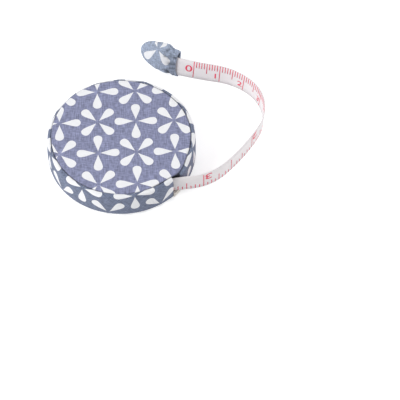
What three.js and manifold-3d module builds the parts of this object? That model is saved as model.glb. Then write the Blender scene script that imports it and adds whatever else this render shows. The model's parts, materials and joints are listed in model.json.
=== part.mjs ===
// Round cloth-covered tape measure with its tape drawn out in a loop. Millimetres, +Z up.
// The origin is the centre of the underside, and the tape leaves the case along +X.
import * as THREE from 'three';
import { mergeVertices } from 'three/addons/utils/BufferGeometryUtils.js';
import Module from 'manifold-3d';

const wasm = await Module();
wasm.setup();

// Facets of turned pieces
const wideFacets = 48; // case and cover
const innerFacets = 36; // reel, button and brake
const smallFacets = 16; // screws
const arcSteps = 3; // in a round corner

// Clearances
const fitGap = 0.1; // between fixed neighbours with round faces
const runGap = 0.1; // around what turns or slides
const edgeGap = 0.5; // from the tape's edges to floor and roof
const leadGap = 0.3; // from the coil to the tape that leaves it
const softGap = 0.3; // between the tab's layers
const discGap = 0.2; // around the brake disc
const cutMargin = 1; // cutting tools reach this far past what they cut
const weldTolerance = 1e-4;

// Tape
const tapeLength = 1500;
const tapeWidth = 7.5;
const tapeThick = 0.35;
const straightRun = 23; // from the coil's tangent point through the slot to the first bend
// Each bend of the loop: its length, its turn to the left and the outward lean at its end, in degrees
const bends = [
  { length: 14.5, turn: 38.5, lean: 1 },
  { length: 21, turn: 15.5, lean: 1 },
  { length: 24, turn: 78, lean: 12 },
  { length: 13, turn: 28.5, lean: 18 },
  { length: 14.1, turn: -5.5, lean: 20 },
];
const loopFall = 1.5; // the tape's middle sinks by this much along the bends
const bendStep = 2.4; // longest step along a bend

// Cloth cover
const clothThick = 0.5;
const topRound = 1.2; // outer radius of the cloth's top edge
const bottomRound = 1.4; // outer radius of its bottom edge
const topMargin = 3.2; // cloth turned in over the top
const bottomMargin = 3.4; // cloth turned in under the bottom
const topPanelInset = 1.4; // from the outside to the top panel's edge
const bottomPanelInset = 2.2;
const crown = 0.3; // rise of the top panel's middle
const crownShares = [0.7, 0.35, 0]; // rings of the crown, as shares of the pad's radius
const coverGapStart = -52.5; // the band's two ends beside the slot, in degrees
const coverGapEnd = -44.5;

// Case shells
const floorThick = 1.2;
const roofThick = 0.9;
const wallThick = 1.6;
const lapHeight = 1; // tongue of the lower shell inside the upper one
const slotWidth = 2.6;
const slotStart = 14; // where the slot's cut begins along X
const slotMargin = 0.3; // slot beyond the tape's lower edge

// Screws that join the shells
const screwCount = 3;
const bossRadius = 2;
const bossGap = 1.4; // from the coil to the boss
const bossSink = 0.4; // boss let into the wall
const screwRadius = 0.6;
const screwHeadRadius = 1.3;
const screwHeadHeight = 0.7;
const screwTipGap = 1.3; // from the screw's tip to the roof
const driveWidth = 0.3; // slot in a screw head
const driveDepth = 0.3;

// Reel
const drumRadius = 14.8;
const drumWall = 1.2;
const drumGap = 0.4; // from the drum's ends to floor and roof
const webThick = 0.9;
const coverThick = 0.6;
const coverSeat = 0.3; // ledge that the barrel cover sits on
const skirtThick = 0.8;
const skirtHeight = 1.1;
const thrustRadius = 9.5;
const thrustWidth = 1;
const keyWidth = 2.2;
const keyThick = 0.45;

// Arbor cup of the lower shell, on which the reel turns
const arborRadius = 7.2;
const cupRadius = 6.2;
const ribCount = 3; // ribs in the cup that keep the brake disc from turning
const ribWidth = 1.2;
const ribDepth = 0.7;

// Mainspring
const springThick = 0.3;
const springTurns = 5;
const spiralTurnSteps = 20;
const springSideGap = 0.2;
const springBend = 0.5; // radius of the bend into each end hook
const hookSlot = 0.7; // width of the slits that hold its end hooks
const hookDepth = 0.6;

// Button and brake
const buttonTravel = 0.8;
const buttonRadius = 5.4;
const buttonSink = 0.05; // button's top below the roof's top
const buttonEdge = 0.3; // chamfer around its top
const flangeOverlap = 0.8;
const flangeThick = 0.8;
const flangeGap = 0.2;
const stemRadius = 2;
const stemGap = 0.3;
const liningInner = 3;
const liningOuter = 5.2;
const liningThick = 0.5;
const discThick = 0.8;
const discScrewLength = 2.7;
const coilWire = 0.5;
const coilMeanRadius = 3.9;
const coilTurns = 4;
const coilSteps = 12; // per turn
const coilSides = 6;

// Tab
const tabLength = 15.4;
const tabHeight = 12.6;
const tabThick = 4.4;
const tabMouthHeight = 10.2;
const tabMouthThick = 1.7;
const tabSwell = 0.45; // where the tab is fullest, as a share of its length
const tabMouthLift = 0.7; // tab's middle above the tape's middle, at the mouth and at the tip
const tabTipLift = 4.4;
const tabRise = 1.25; // 1 lifts the tab's middle evenly along it, more lifts it later
const tabTipRound = 3; // power of the tip's outline
const tabTipShare = 0.985; // the tip is cut flat at this share of the length
const tabFullness = 3.2; // 2 gives oval sections, more gives squarer ones
const tabSteps = 10;
const tabSides = 20;
const tapeInTab = 5; // length of tape inside the tab
const clipLength = 2.6;
const clipWidth = 6.8;
const clipThick = 0.25;
const clipGap = 0.15;
const waddingStart = 6.3;

const degrees = Math.PI / 180;

// Heights of the stack, from the underside up
const cardBottom = clothThick;
const floorBottom = cardBottom + clothThick;
const floorTop = floorBottom + floorThick;
const roofBottom = floorTop + tapeWidth + 2 * edgeGap;
const roofTop = roofBottom + roofThick;
const panelBottom = roofTop + clothThick;
const panelTop = panelBottom + clothThick;
const tapeMiddle = (floorTop + roofBottom) / 2;

// Radii from the reel outward
const loopLength = bends.reduce((sum, bend) => sum + bend.length, 0);
const pathLength = straightRun + loopLength;
const coilInner = drumRadius + fitGap;
const coilRadius = Math.sqrt(coilInner ** 2 + (tapeLength - pathLength) * tapeThick / Math.PI);
const exitOffset = coilRadius + leadGap + tapeThick / 2;
const caseInner = coilRadius + bossGap + 2 * bossRadius;
const shellRadius = caseInner + wallThick;
const coverInner = shellRadius + fitGap;
const coverRadius = coverInner + clothThick;
const bossCircle = caseInner - bossRadius + bossSink;

// Heights of the brake, down from the roof
const flangeTop = roofBottom - flangeGap;
const flangeBottom = flangeTop - flangeThick;
const webTop = flangeBottom - buttonTravel - runGap;
const webBottom = webTop - webThick;
const liningTop = webBottom - runGap;
const discTop = liningTop - liningThick;
const discBottom = discTop - discThick;
const arborTop = webBottom - drumGap;
const skirtBottom = webBottom - skirtHeight;
const drumBottom = floorTop + drumGap;
const drumTop = roofBottom - drumGap;
const drumInner = drumRadius - drumWall;
const barrelInner = drumInner - coverSeat;
const coverTop = drumBottom + coverThick;
const springBottom = coverTop + springSideGap;
const springTop = skirtBottom - springSideGap;

// Welds a geometry's shared corners, drops empty triangles and turns the faces outward.
function weld(geometry) {
  const bare = new THREE.BufferGeometry();
  bare.setAttribute('position', geometry.getAttribute('position'));
  if (geometry.index) bare.setIndex(geometry.index);
  const merged = mergeVertices(bare, weldTolerance);
  const place = merged.getAttribute('position');
  const corner = [new THREE.Vector3(), new THREE.Vector3(), new THREE.Vector3()];
  const kept = [];
  let volume = 0;
  for (let i = 0; i < merged.index.count; i += 3) {
    const [a, b, c] = [0, 1, 2].map((k) => merged.index.getX(i + k));
    if (a === b || b === c || c === a) continue;
    [a, b, c].forEach((vertex, k) => corner[k].fromBufferAttribute(place, vertex));
    volume += corner[0].dot(corner[1].cross(corner[2]));
    kept.push(a, b, c);
  }
  if (volume < 0) {
    for (let i = 0; i < kept.length; i += 3) [kept[i], kept[i + 1]] = [kept[i + 1], kept[i]];
  }
  merged.setIndex(kept);
  return merged;
}

function toSolid(geometry) {
  const welded = weld(geometry);
  return new wasm.Manifold(new wasm.Mesh({
    numProp: 3,
    vertProperties: Float32Array.from(welded.getAttribute('position').array),
    triVerts: Uint32Array.from(welded.index.array),
  }));
}

function toGeometry(solid) {
  const result = solid.getMesh();
  const geometry = new THREE.BufferGeometry();
  geometry.setAttribute('position', new THREE.BufferAttribute(result.vertProperties, 3));
  geometry.setIndex(new THREE.BufferAttribute(result.triVerts, 1));
  return geometry;
}

function join(base, tools) {
  return toGeometry(tools.reduce((solid, tool) => solid.add(toSolid(tool)), toSolid(base)));
}

function cut(base, tools) {
  return toGeometry(tools.reduce((solid, tool) => solid.subtract(toSolid(tool)), toSolid(base)));
}

// Body turned about Z from a profile of [radius, height] points.
function turned(profile, facets = wideFacets) {
  const points = profile.map(([radius, height]) => new THREE.Vector2(radius, height));
  return weld(new THREE.LatheGeometry(points, facets).rotateX(Math.PI / 2));
}

// Ring or disc of plain section; an inner radius of 0 gives a disc.
function ring(inner, outer, bottom, top, facets = wideFacets) {
  const profile = [[inner, bottom], [outer, bottom], [outer, top], [inner, top]];
  if (inner > 0) profile.push(profile[0]);
  return turned(profile, facets);
}

// Points of a profile's round corner, between two angles in degrees.
function corner(radius, centreRadius, centreHeight, from, to) {
  return Array.from({ length: arcSteps + 1 }, (_, step) => {
    const angle = (from + (to - from) * step / arcSteps) * degrees;
    return [centreRadius + radius * Math.cos(angle), centreHeight + radius * Math.sin(angle)];
  });
}

// Box between two opposite corners.
function block(low, high) {
  const size = high.map((value, axis) => value - low[axis]);
  const middle = high.map((value, axis) => (value + low[axis]) / 2);
  return new THREE.BoxGeometry(...size).translate(...middle);
}

function extruded(shape, bottom, top) {
  const options = { depth: top - bottom, bevelEnabled: false };
  return weld(new THREE.ExtrudeGeometry(shape, options).translate(0, 0, bottom));
}

function onCircle(radius, angle) {
  return new THREE.Vector2(radius * Math.cos(angle), radius * Math.sin(angle));
}

// Closed skin over rings of equally many points, with a flat cap at each end.
function lofted(rings) {
  const sides = rings[0].length;
  const positions = rings.flat().flatMap((point) => [point.x, point.y, point.z]);
  const triangles = [];
  for (let i = 0; i + 1 < rings.length; i += 1) {
    for (let k = 0; k < sides; k += 1) {
      const a = i * sides + k;
      const b = i * sides + (k + 1) % sides;
      triangles.push(a, b, b + sides, a, b + sides, a + sides);
    }
  }
  const last = (rings.length - 1) * sides;
  for (let k = 1; k + 1 < sides; k += 1) {
    triangles.push(0, k + 1, k, last, last + k, last + k + 1);
  }
  const geometry = new THREE.BufferGeometry();
  geometry.setAttribute('position', new THREE.Float32BufferAttribute(positions, 3));
  geometry.setIndex(triangles);
  return weld(geometry);
}

// Flat strip on edge along a line in plan.
function strip(line, thick, bottom, top) {
  const rings = line.map((point, i) => {
    const before = line[Math.max(i - 1, 0)];
    const after = line[Math.min(i + 1, line.length - 1)];
    const along = after.clone().sub(before).normalize();
    const side = new THREE.Vector2(-along.y, along.x).multiplyScalar(thick / 2);
    const left = point.clone().add(side);
    const right = point.clone().sub(side);
    return [
      new THREE.Vector3(left.x, left.y, bottom), new THREE.Vector3(right.x, right.y, bottom),
      new THREE.Vector3(right.x, right.y, top), new THREE.Vector3(left.x, left.y, top),
    ];
  });
  return lofted(rings);
}

// Stations along the tape from the coil to the tab: place, heading and outward lean.
function tapeStations() {
  const stations = [
    { x: 0, y: -exitOffset, z: tapeMiddle, heading: 0, lean: 0 },
    { x: straightRun, y: -exitOffset, z: tapeMiddle, heading: 0, lean: 0 },
  ];
  for (const bend of bends) {
    const start = stations[stations.length - 1];
    const steps = Math.ceil(bend.length / bendStep);
    const turn = bend.turn * degrees / steps;
    const lean = (bend.lean * degrees - start.lean) / steps;
    for (let k = 0; k < steps; k += 1) {
      const from = stations[stations.length - 1];
      const middle = from.heading + turn / 2;
      stations.push({
        x: from.x + bend.length / steps * Math.cos(middle),
        y: from.y + bend.length / steps * Math.sin(middle),
        z: from.z - bend.length / steps * loopFall / loopLength,
        heading: from.heading + turn,
        lean: from.lean + lean,
      });
    }
  }
  return stations;
}

// Axes of a station: along the tape, up its width and through its thickness.
function stationFrame({ x, y, z, heading, lean }) {
  const along = new THREE.Vector3(Math.cos(heading), Math.sin(heading), 0);
  const outward = new THREE.Vector3(along.y, -along.x, 0);
  const up = new THREE.Vector3(0, 0, Math.cos(lean)).addScaledVector(outward, Math.sin(lean));
  const through = along.clone().cross(up);
  return { centre: new THREE.Vector3(x, y, z), along, up, through };
}

function tapeSection({ centre, up, through }) {
  return [[-1, -1], [1, -1], [1, 1], [-1, 1]].map(([thick, wide]) => centre.clone()
    .addScaledVector(through, thick * tapeThick / 2)
    .addScaledVector(up, wide * tapeWidth / 2));
}

// Rounded sections of the tab, inset all round, from one length along it to another.
function tabBody(inset, from, to) {
  const fuller = (value) => Math.sign(value) * Math.abs(value) ** (2 / tabFullness);
  const rings = [];
  for (let i = 0; i <= tabSteps; i += 1) {
    const along = from + (to - from) * i / tabSteps;
    const share = Math.min(Math.max(along / tabLength, 0), 1);
    const round = Math.sqrt(1 - share ** tabTipRound);
    const lift = tabMouthLift + (tabTipLift - tabMouthLift) * share ** tabRise;
    const swell = Math.sin(Math.PI / 2 * Math.min(share / tabSwell, 1));
    const height = (tabMouthHeight + (tabHeight - tabMouthHeight) * swell) * round / 2 - inset;
    const thick = (tabMouthThick + (tabThick - tabMouthThick) * swell) * round / 2 - inset;
    rings.push(Array.from({ length: tabSides }, (_, k) => {
      const across = fuller(Math.cos(2 * Math.PI * k / tabSides));
      const through = fuller(Math.sin(2 * Math.PI * k / tabSides));
      return new THREE.Vector3(along, height * across + lift, thick * through);
    }));
  }
  return lofted(rings);
}

const cloth = { color: 0x7f86ab, roughness: 0.9, metalness: 0 };
const cream = { color: 0xe6dcc6, roughness: 0.5, metalness: 0 };
const steel = { color: 0xb4b6ba, roughness: 0.35, metalness: 1 };
const tape = { color: 0xf1efec, roughness: 0.45, metalness: 0 };
const board = { color: 0x8d7a60, roughness: 0.9, metalness: 0 };
const wadding = { color: 0xe9e6e0, roughness: 0.95, metalness: 0 };
const reelCream = { color: 0xd9d4c8, roughness: 0.5, metalness: 0 };
const buttonCream = { color: 0xc9c2b2, roughness: 0.5, metalness: 0 };
const rubber = { color: 0x2f2c2b, roughness: 0.95, metalness: 0 };
const model = new THREE.Group();

function add(parent, name, geometry, look) {
  const mesh = new THREE.Mesh(geometry, new THREE.MeshStandardMaterial(look));
  mesh.name = name;
  parent.add(mesh);
  return mesh;
}

// Case shells: turned bodies with bosses, arbor cup and the slot that the tape leaves through over a sill,
// which stands out between the cover's ends and is flush with the cover
const tongueOuter = caseInner + wallThick / 2;
const shellBottomRound = bottomRound - clothThick;
const shellTopRound = topRound - clothThick;
const lowerProfile = [
  [0, floorBottom],
  ...corner(shellBottomRound, shellRadius - shellBottomRound, floorBottom + shellBottomRound, -90, 0),
  [shellRadius, tapeMiddle], [tongueOuter, tapeMiddle],
  [tongueOuter, tapeMiddle + lapHeight], [caseInner, tapeMiddle + lapHeight],
  [caseInner, floorTop], [arborRadius, floorTop],
  [arborRadius, arborTop], [cupRadius, arborTop],
  [cupRadius, floorTop], [0, floorTop],
];
const holeRadius = buttonRadius + runGap;
const upperProfile = [
  [holeRadius, roofBottom], [caseInner, roofBottom],
  [caseInner, tapeMiddle + lapHeight + fitGap], [tongueOuter + fitGap, tapeMiddle + lapHeight + fitGap],
  [tongueOuter + fitGap, tapeMiddle], [shellRadius, tapeMiddle],
  ...corner(shellTopRound, shellRadius - shellTopRound, roofTop - shellTopRound, 0, 90),
  [holeRadius, roofTop], [holeRadius, roofBottom],
];
const slotBottom = tapeMiddle - tapeWidth / 2 - slotMargin;
const slot = block(
  [slotStart, -exitOffset - slotWidth / 2, slotBottom],
  [shellRadius, -exitOffset + slotWidth / 2, roofTop + fitGap],
);
const sillStart = coverGapStart * degrees + fitGap / coverRadius;
const sillEnd = coverGapEnd * degrees - fitGap / coverRadius;
const sill = extruded(new THREE.Shape([
  onCircle(tongueOuter, sillStart), onCircle(coverRadius, sillStart),
  onCircle(coverRadius, (sillStart + sillEnd) / 2),
  onCircle(coverRadius, sillEnd), onCircle(tongueOuter, sillEnd),
]), cardBottom, slotBottom);
const screwPlaces = Array.from({ length: screwCount },
  (_, i) => onCircle(bossCircle, 2 * Math.PI * i / screwCount));
const screwHeadTop = floorBottom + screwHeadHeight;
const screwTip = roofBottom - screwTipGap;
const atScrews = (geometry) => screwPlaces.map(({ x, y }) => geometry.clone().translate(x, y, 0));
const underFloor = floorBottom - cutMargin;
const screwHole = ring(0, screwRadius + fitGap, underFloor, screwTip + fitGap, smallFacets);
const headRecess = ring(0, screwHeadRadius + fitGap, underFloor, screwHeadTop, smallFacets);
const ribs = Array.from({ length: ribCount }, (_, i) => block(
  [cupRadius - ribDepth, -ribWidth / 2, floorTop - fitGap],
  [cupRadius + fitGap, ribWidth / 2, arborTop],
).rotateZ(2 * Math.PI * (i + 0.5) / ribCount));
const arborSlit = block(
  [cupRadius - fitGap, -hookSlot / 2, springBottom - springSideGap],
  [arborRadius + fitGap, hookSlot / 2, arborTop + fitGap],
);
const bossSeat = tapeMiddle + lapHeight + fitGap;
const lowerBosses = atScrews(ring(0, bossRadius, floorTop - fitGap, tapeMiddle, smallFacets));
const upperBosses = atScrews(ring(0, bossRadius, bossSeat, roofTop - fitGap, smallFacets));
add(model, 'bottom_shell', cut(join(turned(lowerProfile), [sill, ...lowerBosses, ...ribs]),
  [slot, arborSlit, ...atScrews(screwHole), ...atScrews(headRecess)]), cream);
add(model, 'top_shell', cut(join(turned(upperProfile), upperBosses),
  [slot, ...atScrews(screwHole)]), cream);

// Screws, heads down
const screwBody = turned([
  [0, floorBottom], [screwHeadRadius, floorBottom], [screwHeadRadius, screwHeadTop],
  [screwRadius, screwHeadTop], [screwRadius, screwTip], [0, screwTip],
], smallFacets);
const screwDrive = block(
  [-screwHeadRadius - cutMargin, -driveWidth / 2, underFloor],
  [screwHeadRadius + cutMargin, driveWidth / 2, floorBottom + driveDepth],
);
const screw = cut(screwBody, [screwDrive]);
atScrews(screw).forEach((geometry, i) => add(model, `case_screw_${i + 1}`, geometry, steel));

// Cloth band around the side, open beside the slot, and the panels under and over it
const marginBottomInner = coverRadius - bottomRound - bottomMargin;
const marginTopInner = coverRadius - topRound - topMargin;
const bandProfile = [
  [marginBottomInner, cardBottom],
  ...corner(bottomRound, coverRadius - bottomRound, cardBottom + bottomRound, -90, 0),
  ...corner(topRound, coverRadius - topRound, panelBottom - topRound, 0, 90),
  [marginTopInner, panelBottom], [marginTopInner, roofTop],
  ...corner(topRound - clothThick, coverRadius - topRound, panelBottom - topRound, 90, 0),
  ...corner(bottomRound - clothThick, coverRadius - bottomRound, cardBottom + bottomRound, 0, -90),
  [marginBottomInner, floorBottom], [marginBottomInner, cardBottom],
];
const gapInner = marginBottomInner - cutMargin;
const gapOuter = coverRadius + cutMargin;
const gapShape = new THREE.Shape([
  onCircle(gapInner, coverGapStart * degrees), onCircle(gapOuter, coverGapStart * degrees),
  onCircle(gapOuter, coverGapEnd * degrees), onCircle(gapInner, coverGapEnd * degrees),
]);
add(model, 'side_cloth', cut(turned(bandProfile), [extruded(gapShape, 0, panelTop)]), cloth);
add(model, 'bottom_cloth', ring(0, coverRadius - bottomPanelInset, 0, cardBottom), cloth);
add(model, 'bottom_card', ring(0, marginBottomInner - fitGap, cardBottom, floorBottom), board);

const panelRadius = coverRadius - topPanelInset;
const padRadius = marginTopInner - fitGap;
const rise = (radius) => crown * (1 - (radius / padRadius) ** 2);
const crownRadii = crownShares.map((share) => padRadius * share);
add(model, 'top_pad', turned([
  [0, roofTop], [padRadius, roofTop], [padRadius, panelBottom],
  ...crownRadii.map((radius) => [radius, panelBottom + rise(radius)]),
]), wadding);
add(model, 'top_cloth', turned([
  ...crownRadii.toReversed().map((radius) => [radius, panelBottom + rise(radius)]),
  [padRadius, panelBottom], [panelRadius, panelBottom],
  ...corner(clothThick / 2, panelRadius - clothThick / 2, panelTop - clothThick / 2, 0, 90),
  [padRadius, panelTop],
  ...crownRadii.map((radius) => [radius, panelTop + rise(radius)]),
]), cloth);

// Reel: drum with a web near its top, a bearing skirt around the arbor and a thrust ring under the roof
const boreRadius = arborRadius + runGap;
const skirtOuter = boreRadius + skirtThick;
const webBore = stemRadius + stemGap;
const thrustTop = roofBottom - runGap;
const reelProfile = [
  [webBore, webBottom], [boreRadius, webBottom], [boreRadius, skirtBottom], [skirtOuter, skirtBottom],
  [skirtOuter, webBottom], [barrelInner, webBottom], [barrelInner, coverTop], [drumInner, coverTop],
  [drumInner, drumBottom], [drumRadius, drumBottom], [drumRadius, drumTop], [drumInner, drumTop],
  [drumInner, webTop], [thrustRadius + thrustWidth / 2, webTop], [thrustRadius + thrustWidth / 2, thrustTop],
  [thrustRadius - thrustWidth / 2, thrustTop], [thrustRadius - thrustWidth / 2, webTop],
  [webBore, webTop], [webBore, webBottom],
];
const keyFace = -drumRadius * Math.cos(Math.asin(keyWidth / drumRadius)) + fitGap;
const keySlot = block(
  [-drumRadius - cutMargin, -keyWidth / 2 - fitGap, drumBottom - cutMargin],
  [keyFace + keyThick + fitGap, keyWidth / 2 + fitGap, drumTop + cutMargin],
);
const hookNotch = block(
  [barrelInner - fitGap, -hookSlot / 2, coverTop],
  [barrelInner + hookDepth + fitGap, hookSlot / 2, webBottom],
);
const barrelCover = ring(boreRadius, drumInner - fitGap, drumBottom, coverTop, innerFacets);
add(model, 'reel_drum', cut(turned(reelProfile, innerFacets), [keySlot, hookNotch]), reelCream);
add(model, 'barrel_cover', barrelCover, reelCream);
add(model, 'tape_key', block(
  [keyFace, -keyWidth / 2, drumBottom], [keyFace + keyThick, keyWidth / 2, drumTop],
), cream);

// Mainspring: spiral from the slit in the arbor to the notch in the drum
const spiralStart = arborRadius + springThick / 2 + runGap + springBend / 2;
const spiralEnd = barrelInner - springBend - springThick / 2;
const spiralSteps = springTurns * spiralTurnSteps;
const bendPoints = (x, y, from, to) => corner(springBend, x, y, from, to)
  .map(([px, py]) => new THREE.Vector2(px, py));
const springLine = [
  new THREE.Vector2(arborRadius - hookDepth, 0),
  ...bendPoints(spiralStart - springBend, springBend, -90, 0),
];
for (let i = 1; i < spiralSteps; i += 1) {
  const radius = spiralStart + (spiralEnd - spiralStart) * i / spiralSteps;
  springLine.push(onCircle(radius, 2 * Math.PI * springTurns * i / spiralSteps - springBend / spiralEnd));
}
springLine.push(
  ...bendPoints(spiralEnd + springBend, -springBend, 180, 90),
  new THREE.Vector2(barrelInner + hookDepth, 0),
);
add(model, 'mainspring', strip(springLine, springThick, springBottom, springTop), steel);

// Wound tape: a coil whose outer turn ends in a step where the tape leaves it
const coilOutline = Array.from({ length: wideFacets + 1 }, (_, i) => {
  const share = i / wideFacets;
  return onCircle(coilRadius - tapeThick * (1 - share), 2 * Math.PI * share - Math.PI / 2);
});
const coilShape = new THREE.Shape(coilOutline);
coilShape.holes.push(new THREE.Path(Array.from({ length: wideFacets },
  (_, i) => onCircle(coilInner / Math.cos(Math.PI / wideFacets), 2 * Math.PI * i / wideFacets))));
add(model, 'wound_tape', extruded(coilShape, tapeMiddle - tapeWidth / 2, tapeMiddle + tapeWidth / 2), tape);

// Button with its stem through the reel, and the brake under the reel's web
const pilotRadius = screwRadius + fitGap;
const discScrewTip = discBottom + discScrewLength;
const buttonTop = roofTop - buttonSink;
add(model, 'release_button', turned([
  [0, discScrewTip + fitGap], [pilotRadius, discScrewTip + fitGap], [pilotRadius, discTop],
  [stemRadius, discTop], [stemRadius, flangeBottom], [buttonRadius + flangeOverlap, flangeBottom],
  [buttonRadius + flangeOverlap, flangeTop], [buttonRadius, flangeTop],
  [buttonRadius, buttonTop - buttonEdge], [buttonRadius - buttonEdge, buttonTop], [0, buttonTop],
], innerFacets), buttonCream);
const discRadius = cupRadius - discGap;
const discNotches = Array.from({ length: ribCount }, (_, i) => block(
  [discRadius - ribDepth, -ribWidth / 2 - runGap, discBottom - cutMargin],
  [cupRadius + cutMargin, ribWidth / 2 + runGap, discTop + cutMargin],
).rotateZ(2 * Math.PI * (i + 0.5) / ribCount));
const plainDisc = ring(pilotRadius, discRadius, discBottom, discTop, innerFacets);
add(model, 'brake_disc', cut(plainDisc, discNotches), steel);
add(model, 'brake_lining', ring(liningInner, liningOuter, discTop, liningTop, innerFacets), rubber);
const discScrewBottom = discBottom - screwHeadHeight;
const discScrewBody = turned([
  [0, discScrewBottom], [screwHeadRadius, discScrewBottom], [screwHeadRadius, discBottom],
  [screwRadius, discBottom], [screwRadius, discScrewTip], [0, discScrewTip],
], smallFacets);
add(model, 'button_screw', cut(discScrewBody,
  [screwDrive.clone().translate(0, 0, discScrewBottom - floorBottom)]), steel);

class Helix extends THREE.Curve {
  getPoint(share, target = new THREE.Vector3()) {
    const angle = 2 * Math.PI * coilTurns * share;
    const low = floorTop + coilWire / 2 + fitGap / 2;
    const high = discBottom - coilWire / 2 - fitGap / 2;
    const { x, y } = onCircle(coilMeanRadius, angle);
    return target.set(x, y, low + (high - low) * share);
  }
}
const wireShape = new THREE.Shape(Array.from({ length: coilSides },
  (_, i) => onCircle(coilWire / 2, 2 * Math.PI * i / coilSides)));
add(model, 'return_spring', weld(new THREE.ExtrudeGeometry(wireShape,
  { steps: coilTurns * coilSteps, extrudePath: new Helix() })), steel);

// Drawn tape from the coil to inside the tab
const stations = tapeStations();
const tapeEnd = stationFrame(stations[stations.length - 1]);
const hiddenEnd = { ...tapeEnd, centre: tapeEnd.centre.clone().addScaledVector(tapeEnd.along, tapeInTab) };
add(model, 'drawn_tape', lofted([...stations.map(stationFrame), hiddenEnd].map(tapeSection)), tape);

// Tab in its own frame: X along the tape's end, Y up its width, Z through its thickness
const tab = new THREE.Group();
tab.applyMatrix4(new THREE.Matrix4()
  .makeBasis(tapeEnd.along, tapeEnd.up, tapeEnd.through)
  .setPosition(tapeEnd.centre));
model.add(tab);
const tabTip = tabLength * tabTipShare;
const pocketEnd = tabTip - 2 * clothThick;
add(tab, 'tab_cloth', cut(tabBody(0, 0, tabTip), [tabBody(clothThick, -cutMargin, pocketEnd)]), cloth);
add(tab, 'tab_wadding', tabBody(clothThick + softGap, waddingStart, pocketEnd - softGap), wadding);
const clipInner = tapeThick / 2 + clipGap;
const clipOuter = clipInner + clipThick;
const clipEnd = tapeInTab + clipGap + clipThick;
const clipStart = clipEnd - clipLength;
const clipShape = new THREE.Shape([
  [clipStart, clipInner], [clipStart, clipOuter], [clipEnd, clipOuter],
  [clipEnd, -clipOuter], [clipStart, -clipOuter], [clipStart, -clipInner],
  [clipEnd - clipThick, -clipInner], [clipEnd - clipThick, clipInner],
].map(([x, y]) => new THREE.Vector2(x, y)));
add(tab, 'end_clip', extruded(clipShape, -clipWidth / 2, clipWidth / 2).rotateX(-Math.PI / 2), steel);

export default model;
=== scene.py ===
"""Dresses the cloth tape measure: cover, printed tape with its tab, plastic and metal, and the stage."""

import json
import math

import bmesh
import bpy
from bpy.props import FloatProperty, FloatVectorProperty, IntProperty, PointerProperty
from mathutils import Matrix, Vector, noise


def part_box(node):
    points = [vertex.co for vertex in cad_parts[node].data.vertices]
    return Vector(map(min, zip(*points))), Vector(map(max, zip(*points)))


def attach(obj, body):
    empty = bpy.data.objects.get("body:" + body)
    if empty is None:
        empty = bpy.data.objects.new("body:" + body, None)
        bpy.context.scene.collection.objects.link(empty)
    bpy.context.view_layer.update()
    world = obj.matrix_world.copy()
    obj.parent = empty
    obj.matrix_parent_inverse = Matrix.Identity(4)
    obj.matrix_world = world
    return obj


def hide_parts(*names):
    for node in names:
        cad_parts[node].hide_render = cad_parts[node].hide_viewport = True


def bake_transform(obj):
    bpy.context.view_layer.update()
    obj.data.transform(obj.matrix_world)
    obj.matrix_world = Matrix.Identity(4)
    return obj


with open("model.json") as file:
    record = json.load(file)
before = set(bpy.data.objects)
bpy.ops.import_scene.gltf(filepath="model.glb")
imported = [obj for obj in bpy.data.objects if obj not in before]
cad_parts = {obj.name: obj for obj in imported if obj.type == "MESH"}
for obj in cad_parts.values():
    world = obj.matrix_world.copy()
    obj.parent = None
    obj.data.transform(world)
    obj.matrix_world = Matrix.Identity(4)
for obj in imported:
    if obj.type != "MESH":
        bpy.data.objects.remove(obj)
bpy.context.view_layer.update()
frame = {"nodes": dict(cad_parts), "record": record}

bl_info = {
    "name": "Cloth Tape Measure",
    "version": (1, 0, 0),
    "blender": (4, 5, 0),
    "location": "View3D > Sidebar > Tape Measure",
    "description": "Builds the cover, the tape and the stage of a cloth tape measure",
    "category": "Add Mesh",
}

MM = 0.001
TURN = 2 * math.pi

# The loop of the drawn tape: length in mm, turn to the left and outward lean at the end in degrees
BENDS = (
    (14.5, 38.5, 1),
    (21.0, 15.5, 1),
    (24.0, 78.0, 12),
    (13.0, 28.5, 18),
    (14.1, -5.5, 20),
)
STRAIGHT_RUN = 23 * MM
LOOP_FALL = 1.5 * MM
LOOP_LENGTH = sum(bend[0] for bend in BENDS) * MM
PATH_LENGTH = STRAIGHT_RUN + LOOP_LENGTH
TAPE_IN_TAB = 5.0 * MM
FEED_LENGTH = 12 * MM
WADDING_WHITE = (0.80, 0.79, 0.76)
STEEL_GREY = (0.42, 0.43, 0.45)


def length(name, description, value):
    """A size that a user can change, in metres."""
    return FloatProperty(name=name, description=description, default=value, min=0, unit="LENGTH", precision=5)


def colour(name, description, value):
    """A colour that a user can change, in linear light."""
    return FloatVectorProperty(name=name, description=description, default=value, size=3, subtype="COLOR",
                               min=0, max=1)


def angle(name, description, degrees):
    """An angle that a user can change."""
    return FloatProperty(name=name, description=description, default=math.radians(degrees), subtype="ANGLE")


def point(name, description, value):
    """A point that a user can change, in metres."""
    return FloatVectorProperty(name=name, description=description, default=value, size=3,
                               subtype="TRANSLATION", precision=5)


def plain_number(name, description, value, least=0.0):
    """A number without a unit that a user can change."""
    return FloatProperty(name=name, description=description, default=value, min=least)


def whole_number(name, description, value, least=1):
    """A count that a user can change."""
    return IntProperty(name=name, description=description, default=value, min=least)


def node_low(node):
    """Lowest corner of a CAD node at rest."""
    return Vector(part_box(node)[0])


def node_high(node):
    """Highest corner of a CAD node at rest."""
    return Vector(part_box(node)[1])


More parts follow.
